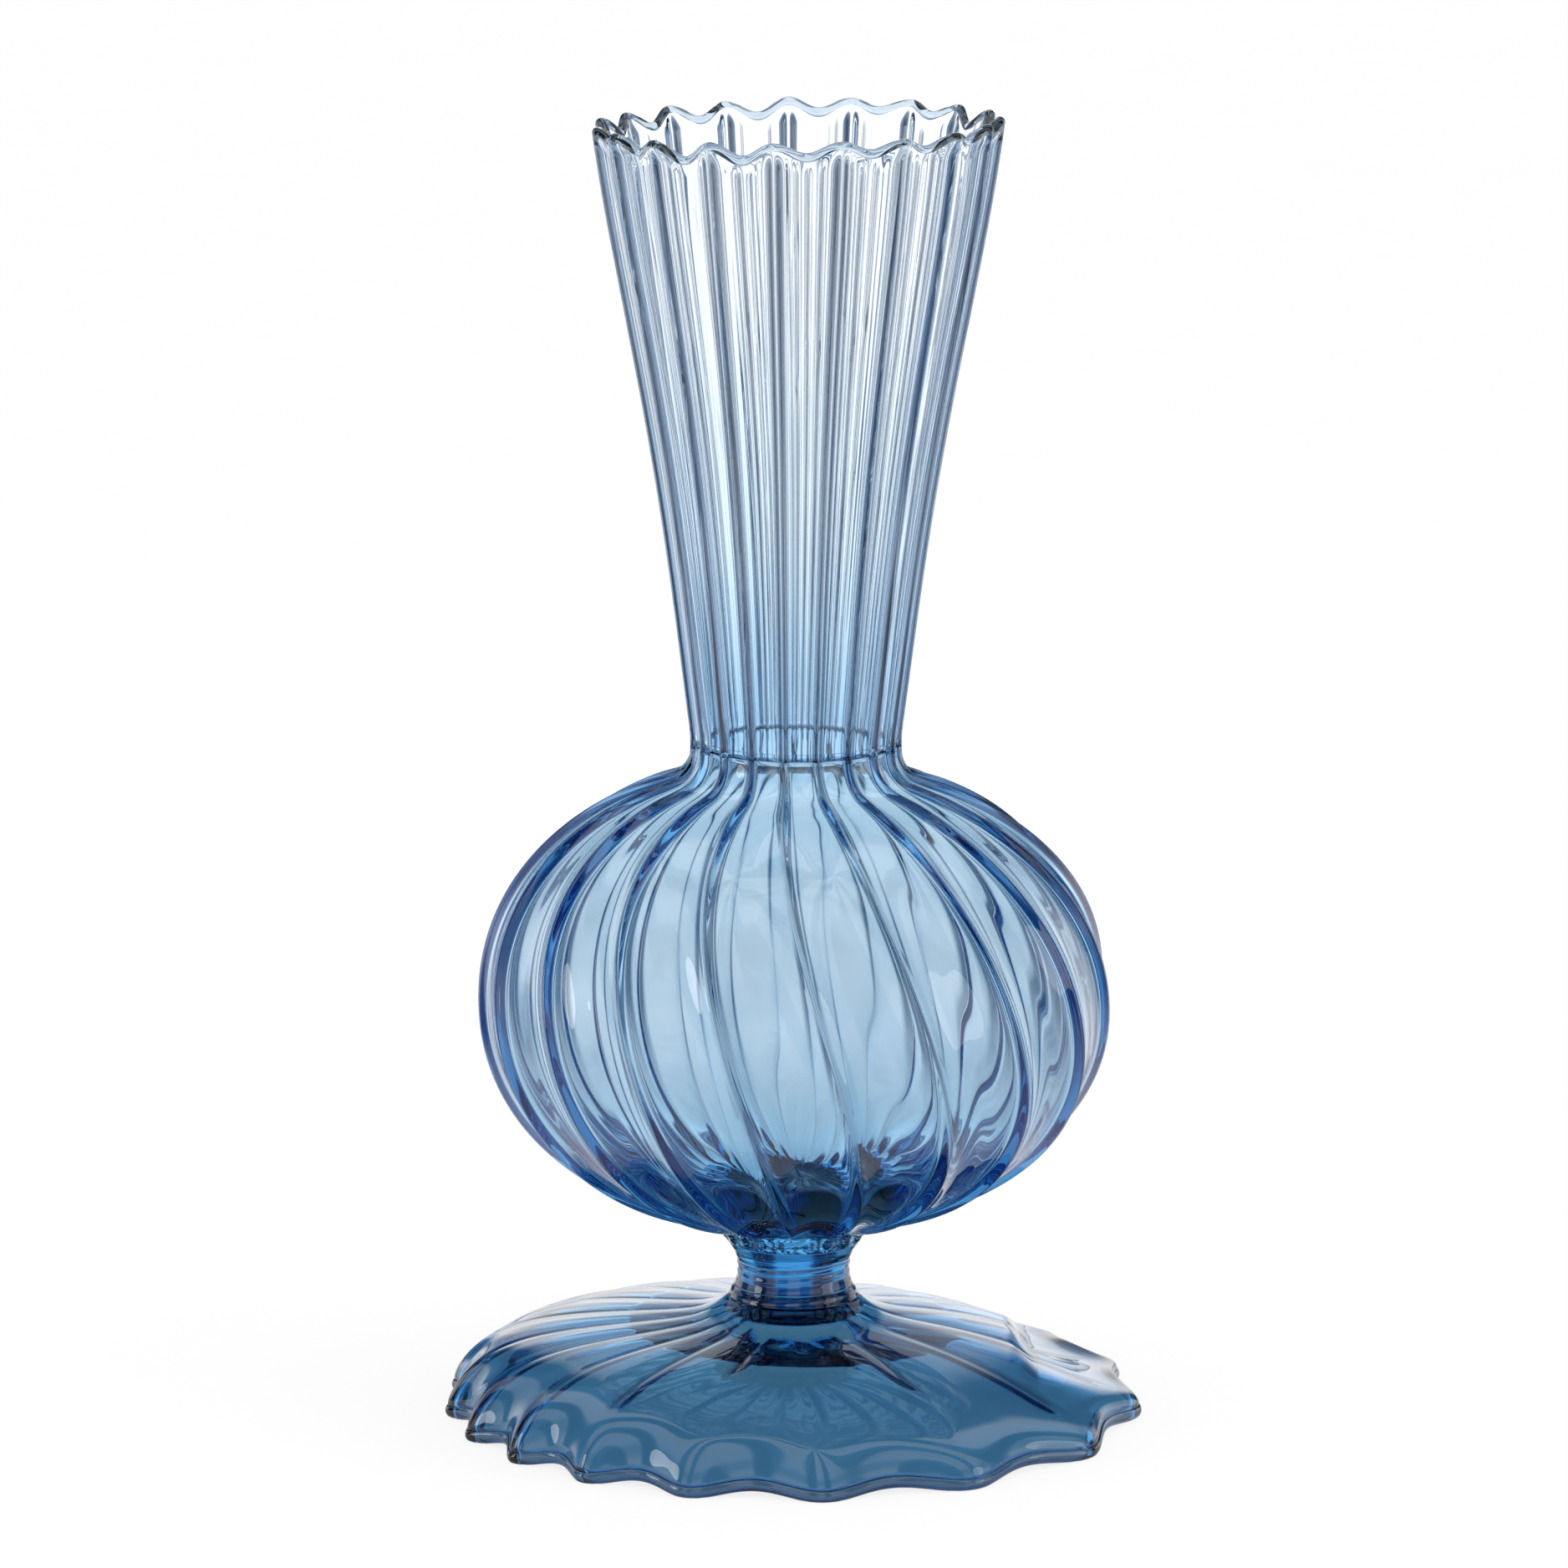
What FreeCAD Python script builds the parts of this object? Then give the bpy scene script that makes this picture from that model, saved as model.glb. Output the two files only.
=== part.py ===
import FreeCAD, Part
import Sketcher
import math
import os

from FreeCAD import Vector

# Hand-blown ribbed glass bud vase: a funnel neck welded to a twisted, ribbed globe,
# which stands on a short solid spool and a ribbed, domed foot.
# Millimetres, +Z up, origin on the table under the middle of the foot.
# The front of the vase looks towards -Y.

doc = FreeCAD.newDocument("glass_bud_vase")

# ---------------------------------------------------------------- sizes

SIZES = [
    # ribs
    ("rib_count", 19, "ribs round every blown piece"),
    ("rib_angle", -77.7, "direction of one neck rib, degrees from +X"),
    ("bulb_twist", 26, "turn of the globe's ribs from throat to base, degrees"),
    ("inner_follow", 0.45, "share of a rib's height that the inside wall follows"),
    ("mouth_follow", 0.8, "the same at the mouth, where the wall is thin"),
    # heights of the joints above the table
    ("foot_height", 15.2, "top of the foot, where the lower collar sits"),
    ("lower_collar_height", 1.4, "weld ring between foot and stem"),
    ("stem_height", 6.0, "solid spool"),
    ("upper_collar_height", 1.8, "weld ring between stem and globe"),
    ("bulb_height", 64.0, "globe, from its joint with the collar to the throat weld"),
    ("weld_height", 1.6, "weld band at the throat"),
    ("neck_height", 78.2, "funnel, to the highest points of its wavy top"),
    # neck, radii over the rib tips at quarter heights
    ("throat_radius", 13.7, "neck at the weld"),
    ("neck_radius_low", 16.25, "neck at one quarter"),
    ("neck_radius_middle", 19.3, "neck at half"),
    ("neck_radius_high", 23.0, "neck at three quarters"),
    ("mouth_radius", 26.4, "neck at the top"),
    ("throat_rib_depth", 0.8, "rib tip to panel at the throat"),
    ("mouth_rib_depth", 1.3, "rib tip to panel at the mouth"),
    ("throat_wall", 1.5, "glass in the panels at the throat"),
    ("mouth_wall", 1.0, "glass in the panels at the mouth"),
    ("mouth_wave", 1.5, "fall of the top edge between ribs"),
    ("mouth_tilt", 0.6, "rise of the top edge on one side, as trimmed by hand"),
    ("mouth_high_side", 15, "direction of that side, degrees from +X"),
    ("mouth_bead_swell", 0.12, "stand of the rolled lip beyond half the glass there"),
    # throat weld
    ("weld_swell", 0.35, "stand of the weld band, outside and inside"),
    # globe
    ("bulb_radius", 41.3, "rib tips at the equator"),
    ("bulb_rise", 31.6, "equator to the crown of the globe's full curve"),
    ("bulb_drop", 30.8, "equator to the base of the globe's full curve"),
    ("bulb_squareness", 2.1, "2 is an ellipse, more is fuller at the shoulders"),
    ("bulb_rib_depth", 1.5, "rib tip to panel at the equator"),
    ("bulb_rib_sharpness", 1.7, "1 gives hollow panels, more gives narrow ribs"),
    ("bulb_wall", 1.4, "glass in the panels at the equator"),
    ("bulb_base_wall", 3.2, "glass at the bottom of the globe"),
    ("bulb_well_radius", 2.5, "flat at the bottom of the inside"),
    # stem and collars
    ("base_joint_radius", 8.2, "joint between globe and upper collar"),
    ("upper_collar_swell", 0.75, "stand of the upper collar beyond its joints"),
    ("stem_end_radius", 7.9, "spool ends"),
    ("stem_waist_depth", 0.75, "how far the spool draws in at its waist"),
    ("lower_collar_swell", 0.45, "stand of the lower collar beyond its joints"),
    ("foot_joint_radius", 8.0, "joint between foot and lower collar"),
    # foot
    ("foot_radius", 45.7, "rib tips, without the rolled edge"),
    ("foot_wall", 1.5, "glass at the edge"),
    ("foot_centre_wall", 3.4, "glass under the stem"),
    ("foot_well_radius", 3.0, "flat in the middle of the underside"),
    ("foot_rib_depth", 1.1, "rib tip to panel on the foot"),
    ("foot_scallop", 2.9, "depth of the edge's bays between ribs"),
    ("foot_wave", 0.8, "lift of the edge's bays"),
    ("foot_fullness", 1.8, "dome fuller on one side and flatter on the other"),
    ("foot_full_side", -150, "direction of the fuller side, degrees from +X"),
    ("foot_rib_angle", -91.4, "direction of one foot rib before crowding, degrees"),
    ("foot_crowding", 14, "how far ribs are pulled together on one side, degrees"),
    ("foot_pairing", 6, "how far ribs are pulled together on two sides, degrees"),
    ("foot_bead_swell", 0.2, "stand of the rolled edge beyond half the glass there"),
    ("foot_contact_cut", 0.25, "glass worn off each rib tip where it stands"),
]

sheet = doc.addObject("Spreadsheet::Sheet", "Sizes")
for line, (alias, value, note) in enumerate(SIZES, start=1):
    sheet.set("A%d" % line, alias)
    sheet.set("B%d" % line, str(value))
    sheet.set("C%d" % line, note)
    sheet.setAlias("B%d" % line, alias)
doc.recompute()


def size(alias):
    return float(sheet.get(alias))


# heights of the joints above the table
FOOT_TOP = size("foot_height")
STEM_BASE = FOOT_TOP + size("lower_collar_height")
STEM_TOP = STEM_BASE + size("stem_height")
BULB_BASE = STEM_TOP + size("upper_collar_height")
WELD_BASE = BULB_BASE + size("bulb_height")
NECK_BASE = WELD_BASE + size("weld_height")

RIBS = int(size("rib_count"))
STEPS = 12                      # control points from one rib to the next
AROUND = RIBS * STEPS
RIB_ANGLE = math.radians(size("rib_angle"))
TWIST = math.radians(size("bulb_twist"))
FOLLOW = size("inner_follow")
SEWING_TOLERANCE = 1e-4
BEAD_ROWS = 11


# ---------------------------------------------------------------- fluted glass

def rib(step, sharpness=1.0):
    """1 on a rib, 0 half way to the next, with a crease on the rib."""
    phase = (step % STEPS) / STEPS
    return (1 - math.sin(math.pi * phase)) ** sharpness


def swell(step):
    """1 on a rib, 0 half way to the next, rounded on both."""
    phase = (step % STEPS) / STEPS
    return math.cos(math.pi * phase) ** 2


def even_angle(step):
    return RIB_ANGLE + 2 * math.pi * step / AROUND


def polar(radius, angle, height):
    return Vector(radius * math.cos(angle), radius * math.sin(angle), height)


def mix(start, end, share):
    return start + (end - start) * share


def smooth_profile(points, rows):
    """Even samples (radius, height, outward normal) of a curve through (radius, height)."""
    curve = Part.BSplineCurve()
    curve.interpolate([Vector(radius, 0, height) for radius, height in points])
    first, last = curve.FirstParameter, curve.LastParameter
    samples = []
    for row in range(rows):
        at = mix(first, last, row / (rows - 1))
        spot = curve.value(at)
        along = curve.tangent(at)[0]
        samples.append((spot.x, spot.z, along.z, -along.x))
    return samples


def panels_through(rows):
    """Cubic surface, closed round the axis, from rows of control points. It is
    returned as one panel for each gap between ribs."""
    count = len(rows)
    # the surface starts over the second control point of a ring, so each ring is
    # turned by one to start on a rib
    poles = [[row[step - 1] for row in rows] for step in range(AROUND)]
    around_knots = list(range(AROUND + 1))
    along_knots = list(range(count - 2))
    surface = Part.BSplineSurface()
    surface.buildFromPolesMultsKnots(
        poles,
        [1] * len(around_knots),
        [4] + [1] * (count - 4) + [4],
        around_knots,
        along_knots,
        True,
        False,
        3,
        3,
    )
    panels = []
    for number in range(RIBS):
        panel = surface.copy()
        panel.segment(number * STEPS, (number + 1) * STEPS, 0, along_knots[-1])
        panels.append(panel)
    return panels


def faces_of(panels):
    return [panel.toShape() for panel in panels]


def end_edges(panels, last):
    """The edges along the first or last row of a set of panels."""
    edges = []
    for panel in panels:
        bounds = panel.bounds()
        edges.append(panel.vIso(bounds[3] if last else bounds[2]).toShape())
    return edges


def flat_cap(*loops):
    """A flat face inside the first loop of edges, less the others."""
    wires = [Part.Wire(loop) for loop in loops]
    return [Part.makeFace(wires, "Part::FaceMakerBullseye")]


def band_cap(outer_edges, inner_edges):
    """Faces that span two loops of edges, one for each pair."""
    pairs = zip(outer_edges, inner_edges)
    return [Part.makeRuledSurface(outer, inner) for outer, inner in pairs]


def solid_of(faces):
    sewn = Part.makeCompound(faces)
    sewn.sewShape(SEWING_TOLERANCE)
    solid = Part.makeSolid(sewn.Shells[0])
    if solid.Volume < 0:
        solid.reverse()
    return solid


def add_solid(name, solid, height=0.0):
    piece = doc.addObject("Part::Feature", name)
    piece.Label = name
    piece.Shape = solid
    piece.Placement = FreeCAD.Placement(Vector(0, 0, height), FreeCAD.Rotation())
    return piece


def bead_rows(start_row, end_row, radius, turn):
    """Rows of a rolled edge, from start_row round to end_row. turn is +1 or -1:
    which way the roll lies from the line that joins the two rows."""
    rows = BEAD_ROWS
    beads = [[] for _ in range(rows)]
    for start, end in zip(start_row, end_row):
        outward = Vector(start.x, start.y, 0).normalize()
        across = start - end
        thickness = across.Length
        across_radial = across.dot(outward) / thickness
        across_up = across.z / thickness
        normal = outward * across_radial + Vector(0, 0, across_up)
        forward = (Vector(0, 0, across_radial) - outward * across_up) * turn
        reach = math.sqrt(radius ** 2 - (thickness / 2) ** 2)
        centre = (start + end) * 0.5 + forward * reach
        first = math.pi - math.asin(thickness / 2 / radius)
        span = 2 * first / (rows - 1)
        # a cubic curve runs inside its control points by this much
        pole_radius = radius * 3 / (2 + math.cos(span))
        for row in range(rows):
            angle = first - span * row
            if row == 0:
                beads[row].append(start)
            elif row == rows - 1:
                beads[row].append(end)
            else:
                beads[row].append(
                    centre
                    + forward * (pole_radius * math.cos(angle))
                    + normal * (pole_radius * math.sin(angle))
                )
    return beads


# ---------------------------------------------------------------- neck

NECK_ROWS = 26
MOUTH_POWER = 9                 # how late in the funnel its wavy top begins
NECK_HEIGHT = size("neck_height")
MOUTH_HIGH_SIDE = math.radians(size("mouth_high_side"))
QUARTERS = [
    size("throat_radius"),
    size("neck_radius_low"),
    size("neck_radius_middle"),
    size("neck_radius_high"),
    size("mouth_radius"),
]


def neck_row(radius, height, share, inside):
    """One ring of the funnel. share is 0 at the weld and 1 at the mouth."""
    depth = mix(size("throat_rib_depth"), size("mouth_rib_depth"), share)
    wall = mix(size("throat_wall"), size("mouth_wall"), share)
    follow = mix(FOLLOW, size("mouth_follow"), share)
    near_mouth = share ** MOUTH_POWER
    ring = []
    for step in range(AROUND):
        if inside:
            edge = radius - depth - wall + depth * follow * rib(step)
        else:
            edge = radius - depth * (1 - rib(step))
        angle = even_angle(step)
        rise = size("mouth_tilt") * math.cos(angle - MOUTH_HIGH_SIDE)
        rise -= size("mouth_wave") * (1 - swell(step))
        ring.append(polar(edge, angle, height + near_mouth * rise))
    return ring


neck_profile = smooth_profile(
    [(radius, NECK_HEIGHT * quarter / 4) for quarter, radius in enumerate(QUARTERS)],
    NECK_ROWS,
)
neck_outer_rows = []
neck_inner_rows = []
for radius, height, _, _ in neck_profile:
    share = height / NECK_HEIGHT
    neck_outer_rows.append(neck_row(radius, height, share, False))
    neck_inner_rows.append(neck_row(radius, height, share, True))

neck_outer = panels_through(neck_outer_rows)
neck_inner = panels_through(neck_inner_rows)
mouth_joint = band_cap(end_edges(neck_outer, True), end_edges(neck_inner, True))
neck_solid = solid_of(
    faces_of(neck_outer)
    + faces_of(neck_inner)
    + mouth_joint
    + flat_cap(end_edges(neck_outer, False), end_edges(neck_inner, False))
)
add_solid("neck_funnel", neck_solid, NECK_BASE)

# rolled lip, welded along the wavy top of the funnel
glass_at_ribs = size("mouth_wall") + size("mouth_rib_depth") * (1 - size("mouth_follow"))
MOUTH_BEAD = glass_at_ribs / 2 + size("mouth_bead_swell")
lip_panels = panels_through(
    bead_rows(neck_outer_rows[-1], neck_inner_rows[-1], MOUTH_BEAD, 1)
)
lip_solid = solid_of(faces_of(lip_panels) + mouth_joint)
add_solid("mouth_lip", lip_solid, NECK_BASE)


# ---------------------------------------------------------------- throat weld

WELD_ROWS = 7


def weld_rows(inside):
    rows = []
    for row in range(WELD_ROWS):
        share = row / (WELD_ROWS - 1)
        stand = size("weld_swell") * math.sin(math.pi * share)
        height = size("weld_height") * share
        radius = size("throat_radius")
        ring = neck_row(radius, height, 0.0, inside)
        grow = (radius - stand) / radius if inside else (radius + stand) / radius
        rows.append([Vector(spot.x * grow, spot.y * grow, spot.z) for spot in ring])
    return rows


weld_outer = panels_through(weld_rows(False))
weld_inner = panels_through(weld_rows(True))
weld_solid = solid_of(
    faces_of(weld_outer)
    + faces_of(weld_inner)
    + flat_cap(end_edges(weld_outer, True), end_edges(weld_inner, True))
    + flat_cap(end_edges(weld_outer, False), end_edges(weld_inner, False))
)
add_solid("throat_weld", weld_solid, WELD_BASE)


# ---------------------------------------------------------------- globe

BULB_ROWS = 44
BLEND = 8.0                     # how tightly the globe turns into the throat
CROWN_ANGLE = math.radians(78)  # highest part of the full curve that is followed
CURVE_POWER = 2 / size("bulb_squareness")
RIB_FADE = 0.12                 # share of the profile over which the ribs die out
CROWN_POINTS = 14
DROP_POINTS = 14


def curve_end(radius, joint_radius):
    """Angle below the equator at which the globe has narrowed to joint_radius."""
    return math.acos((joint_radius / radius) ** (1 / CURVE_POWER))


def globe_spot(radius, reach, angle):
    """Radius, and height from the equator, on the globe's full curve."""
    across = radius * math.cos(angle) ** CURVE_POWER
    along = reach * abs(math.sin(angle)) ** CURVE_POWER
    return across, along


def globe_points(radius, rise, drop, throat, joint_radius, top, equator):
    """Profile down a globe whose crown turns up into the throat."""
    points = [(throat, top)]
    for point in range(CROWN_POINTS):
        angle = mix(CROWN_ANGLE, 0.0, point / CROWN_POINTS)
        globe, up = globe_spot(radius, rise, angle)
        blended = (globe ** BLEND + throat ** BLEND) ** (1 / BLEND)
        points.append((blended, equator + up))
    last = curve_end(radius, joint_radius)
    for point in range(DROP_POINTS + 1):
        globe, down = globe_spot(radius, drop, last * point / DROP_POINTS)
        points.append((globe, equator - down))
    return points


def globe_rows(points, inside):
    """Rings down the globe, with ribs that turn as they fall and fade at the base."""
    profile = smooth_profile(points, BULB_ROWS)
    top = points[0][1]
    throat = points[0][0]
    widest = max(radius for radius, _ in points)
    bottom = points[-1][1]
    rows = [neck_row(size("throat_radius"), top, 0.0, inside)]
    for number, (radius, height, normal_radial, normal_up) in enumerate(profile[1:], 1):
        girth = max(0.0, (radius - throat) / (widest - throat))
        depth = mix(size("throat_rib_depth"), size("bulb_rib_depth"), girth)
        sharpness = mix(1.0, size("bulb_rib_sharpness"), girth)
        left = min(1.0, (1 - number / (BULB_ROWS - 1)) / RIB_FADE)
        depth *= left * left * (3 - 2 * left)
        if inside:
            depth *= FOLLOW
        turn = TWIST * (top - height) / (top - bottom)
        ring = []
        for step in range(AROUND):
            sink = depth * (1 - rib(step, sharpness))
            # the profile runs downwards, so its own normal points into the hollow
            ring.append(polar(
                radius + sink * normal_radial,
                even_angle(step) + turn,
                height + sink * normal_up,
            ))
        rows.append(ring)
    return rows


wall_at_ribs = size("bulb_wall") + size("bulb_rib_depth") * (1 - FOLLOW)
inner_radius = size("bulb_radius") - wall_at_ribs
inner_throat = size("throat_radius") - size("throat_wall")
inner_throat -= size("throat_rib_depth") * (1 - FOLLOW)
base_end = curve_end(size("bulb_radius"), size("base_joint_radius"))
equator = globe_spot(size("bulb_radius"), size("bulb_drop"), base_end)[1]

bulb_outer = panels_through(globe_rows(
    globe_points(
        size("bulb_radius"),
        size("bulb_rise"),
        size("bulb_drop"),
        size("throat_radius"),
        size("base_joint_radius"),
        size("bulb_height"),
        equator,
    ),
    False,
))
bulb_inner = panels_through(globe_rows(
    globe_points(
        inner_radius,
        size("bulb_rise") - wall_at_ribs,
        size("bulb_drop") - size("bulb_base_wall"),
        inner_throat,
        size("bulb_well_radius"),
        size("bulb_height"),
        equator,
    ),
    True,
))
bulb_solid = solid_of(
    faces_of(bulb_outer)
    + faces_of(bulb_inner)
    + flat_cap(end_edges(bulb_outer, False), end_edges(bulb_inner, False))
    + flat_cap(end_edges(bulb_outer, True))
    + flat_cap(end_edges(bulb_inner, True))
)
add_solid("bulb_globe", bulb_solid, BULB_BASE)


# ---------------------------------------------------------------- stem and collars

def draw_half_outline(sketch, low, middle, top, hollow):
    """Half outline of a turned piece: flat ends, the axis, and an arc for the side."""
    centre_low = Vector(0, 0, 0)
    centre_top = Vector(0, top.y, 0)
    side = Part.Arc(top, middle, low) if hollow else Part.Arc(low, middle, top)
    sketch.addGeometry(Part.LineSegment(centre_low, low), False)
    sketch.addGeometry(side, False)
    sketch.addGeometry(Part.LineSegment(top, centre_top), False)
    sketch.addGeometry(Part.LineSegment(centre_top, centre_low), False)
    sketch.addGeometry(Part.Point(middle), True)


def turned_piece(name, height, low_radius, top_radius, swell_sign, swell_by, base):
    """Revolved body with flat ends. The sizes are names in the sheet. The middle
    stands out from the mean of the ends by swell_by, or draws in where swell_sign is
    "-". base is an expression for the height above the table."""
    body = doc.addObject("PartDesign::Body", name)
    body.Label = name
    plane = next(
        feature for feature in body.Origin.OriginFeatures if feature.Role == "XZ_Plane"
    )
    sketch = body.newObject("Sketcher::SketchObject", name + "_outline")
    sketch.AttachmentSupport = [(plane, "")]
    sketch.MapMode = "FlatFace"

    tall = size(height)
    low = Vector(size(low_radius), 0, 0)
    top = Vector(size(top_radius), tall, 0)
    hollow = swell_sign == "-"
    stand = -size(swell_by) if hollow else size(swell_by)
    middle = Vector((low.x + top.x) / 2 + stand, tall / 2, 0)
    draw_half_outline(sketch, low, middle, top, hollow)

    bottom_line, side, top_line, axis_line, waist_point = range(5)
    start, end, origin = 1, 2, -1
    side_low, side_top = (end, start) if hollow else (start, end)
    join = Sketcher.Constraint
    sketch.addConstraint([
        join("Coincident", bottom_line, start, origin, 1),
        join("Coincident", bottom_line, end, side, side_low),
        join("Coincident", side, side_top, top_line, start),
        join("Coincident", top_line, end, axis_line, start),
        join("Coincident", axis_line, end, bottom_line, start),
        join("Horizontal", bottom_line),
        join("Horizontal", top_line),
        join("Vertical", axis_line),
        join("PointOnObject", waist_point, start, side),
    ])
    middle_radius = "(Sizes.%s + Sizes.%s) / 2 %s Sizes.%s" % (
        low_radius, top_radius, swell_sign, swell_by
    )
    for kind, geometry, value, formula in [
        ("DistanceX", (bottom_line, start, bottom_line, end), low.x, "Sizes." + low_radius),
        ("DistanceX", (top_line, end, top_line, start), top.x, "Sizes." + top_radius),
        ("DistanceY", (axis_line, end, axis_line, start), tall, "Sizes." + height),
        ("DistanceX", (origin, 1, waist_point, start), middle.x, middle_radius),
        ("DistanceY", (origin, 1, waist_point, start), middle.y, "Sizes.%s / 2" % height),
    ]:
        number = sketch.addConstraint(join(kind, *geometry, value))
        sketch.setExpression("Constraints[%d]" % number, formula)

    turn = body.newObject("PartDesign::Revolution", name + "_turned")
    turn.Profile = sketch
    turn.ReferenceAxis = (sketch, ["V_Axis"])
    turn.Angle = 360
    sketch.Visibility = False
    body.Tip = turn
    body.setExpression(".Placement.Base.z", base)
    return body


turned_piece(
    "lower_collar",
    "lower_collar_height",
    "foot_joint_radius",
    "stem_end_radius",
    "+",
    "lower_collar_swell",
    "Sizes.foot_height",
)
turned_piece(
    "stem_spool",
    "stem_height",
    "stem_end_radius",
    "stem_end_radius",
    "-",
    "stem_waist_depth",
    "Sizes.foot_height + Sizes.lower_collar_height",
)
turned_piece(
    "upper_collar",
    "upper_collar_height",
    "stem_end_radius",
    "base_joint_radius",
    "+",
    "upper_collar_swell",
    "Sizes.foot_height + Sizes.lower_collar_height + Sizes.stem_height",
)


# ---------------------------------------------------------------- foot

FOOT_ROWS = 24
FOOT_RADIUS = size("foot_radius")
FOOT_BEAD = size("foot_wall") / 2 + size("foot_bead_swell")
FLARE_SHARE = 0.2               # share of the foot's height in the flare at the stem
FLARE_LENGTH = 0.05             # how fast that flare dies out
DOME_SPREAD = 1.8               # how far out the dome stays high
DOME_ROUND = 0.55               # how sharply it turns down at the edge
EDGE_POWER = 4                  # how late the scallops begin
EDGE_ROUNDS = 6                 # repeats that settle the edge's height
FULLNESS_GAIN = 2.2             # brings the fuller side's greatest rise near 1
OUTWARD_STATIONS = [0.0, 0.08, 0.22, 0.38, 0.54, 0.70, 0.84, 0.945, 1.0]
FULL_SIDE = math.radians(size("foot_full_side"))
FOOT_RIB_ANGLE = math.radians(size("foot_rib_angle"))
CROWDING = math.radians(size("foot_crowding"))
PAIRING = math.radians(size("foot_pairing"))
CROWD_PHASE = math.radians(44)
PAIR_PHASE = math.radians(-22)


def foot_angle(step):
    """Direction of a control point. The ribs were pulled by hand, so not evenly."""
    even = FOOT_RIB_ANGLE + 2 * math.pi * step / AROUND
    crowd = CROWDING * math.sin(even + CROWD_PHASE)
    pair = PAIRING * math.cos(2 * even + PAIR_PHASE)
    return even + crowd + pair


def foot_points(edge_height):
    """Profile of the upper face: a flare from the stem joint, then a round dome."""
    points = []
    for out in OUTWARD_STATIONS:
        flare = FLARE_SHARE * math.exp(-out / FLARE_LENGTH)
        dome = (1 - FLARE_SHARE) * (1 - out ** DOME_SPREAD) ** DOME_ROUND
        points.append((
            mix(size("foot_joint_radius"), FOOT_RADIUS, out),
            mix(edge_height, FOOT_TOP, flare + dome),
        ))
    return points


def standing_edge_height():
    """Height of the upper face at the edge for which the rolled edge's rib tips reach
    below the table by the contact cut."""
    half_wall = size("foot_wall") / 2
    reach = math.sqrt(FOOT_BEAD ** 2 - half_wall ** 2)
    edge_height = 0.0
    for _ in range(EDGE_ROUNDS):
        _, _, out_radial, out_up = smooth_profile(foot_points(edge_height), 2)[-1]
        centre_height = FOOT_BEAD - size("foot_contact_cut")
        edge_height = centre_height - half_wall * out_up - reach * out_radial
    return edge_height


def underside_points(upper_points):
    """Profile of the lower face: a flat well under the stem, then an even wall."""
    count = len(upper_points)
    samples = []
    curve = Part.BSplineCurve()
    curve.interpolate([Vector(radius, 0, height) for radius, height in upper_points])
    for radius, height in upper_points:
        at = curve.parameter(Vector(radius, 0, height))
        along = curve.tangent(at)[0]
        samples.append((radius, height, -along.z, along.x))
    points = [(size("foot_well_radius"), FOOT_TOP - size("foot_centre_wall"))]
    for number in range(1, count):
        radius, height, out_radial, out_up = samples[number]
        thin = min(1.0, number / 3)
        wall = mix(size("foot_centre_wall"), size("foot_wall"), thin)
        points.append((radius - wall * out_radial, height - wall * out_up))
    return points


def foot_rows(points, follow):
    """Rings of the foot from the middle out. follow is the share of a rib's height
    that this face shows."""
    rows = []
    first, last = points[0][0], points[-1][0]
    for radius, height, _, _ in smooth_profile(points, FOOT_ROWS):
        share = min(1.0, max(0.0, (radius - first) / (last - first)))
        edge = share ** EDGE_POWER
        relief = follow * size("foot_rib_depth") * math.sqrt(math.sin(math.pi * share))
        fullness = size("foot_fullness") * FULLNESS_GAIN * share ** 2 * (1 - share ** 6)
        ring = []
        for step in range(AROUND):
            angle = foot_angle(step)
            bay = 1 - rib(step)
            rise = size("foot_wave") * edge * (1 - swell(step))
            rise += fullness * math.cos(angle - FULL_SIDE)
            ring.append(polar(
                radius - size("foot_scallop") * edge * bay,
                angle,
                height - relief * bay + rise,
            ))
        rows.append(ring)
    return rows


upper_points = foot_points(standing_edge_height())
upper_rows = foot_rows(upper_points, 1.0)
under_rows = foot_rows(underside_points(upper_points), FOLLOW)
foot_upper = panels_through(upper_rows)
foot_under = panels_through(under_rows)
edge_joint = band_cap(end_edges(foot_upper, True), end_edges(foot_under, True))
foot_solid = solid_of(
    faces_of(foot_upper)
    + faces_of(foot_under)
    + edge_joint
    + flat_cap(end_edges(foot_upper, False))
    + flat_cap(end_edges(foot_under, False))
)
add_solid("foot_dome", foot_solid)

# rolled edge, worn flat where each rib tip stands on the table
roll_panels = panels_through(bead_rows(upper_rows[-1], under_rows[-1], FOOT_BEAD, -1))
roll_solid = solid_of(faces_of(roll_panels) + edge_joint)
table = Part.makeBox(
    4 * FOOT_RADIUS,
    4 * FOOT_RADIUS,
    FOOT_RADIUS,
    Vector(-2 * FOOT_RADIUS, -2 * FOOT_RADIUS, -FOOT_RADIUS),
)
add_solid("foot_edge", roll_solid.cut(table))


# ---------------------------------------------------------------- checks and files

doc.recompute()

NAMES = [
    "mouth_lip",
    "neck_funnel",
    "throat_weld",
    "bulb_globe",
    "upper_collar",
    "stem_spool",
    "lower_collar",
    "foot_dome",
    "foot_edge",
]

for item in doc.Objects:
    assert "Invalid" not in item.State and "Error" not in item.State, item.Label

os.makedirs("parts", exist_ok=True)
for name in NAMES:
    shape = doc.getObject(name).Shape
    assert not shape.isNull() and shape.isValid(), name
    assert len(shape.Solids) == 1, name
    shape.exportStep("parts/%s.step" % name)
    box = shape.BoundBox
    print("%-13s volume %9.1f  z %7.2f to %7.2f  width %6.2f" % (
        name, shape.Volume, box.ZMin, box.ZMax, box.XLength
    ))
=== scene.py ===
import math

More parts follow.
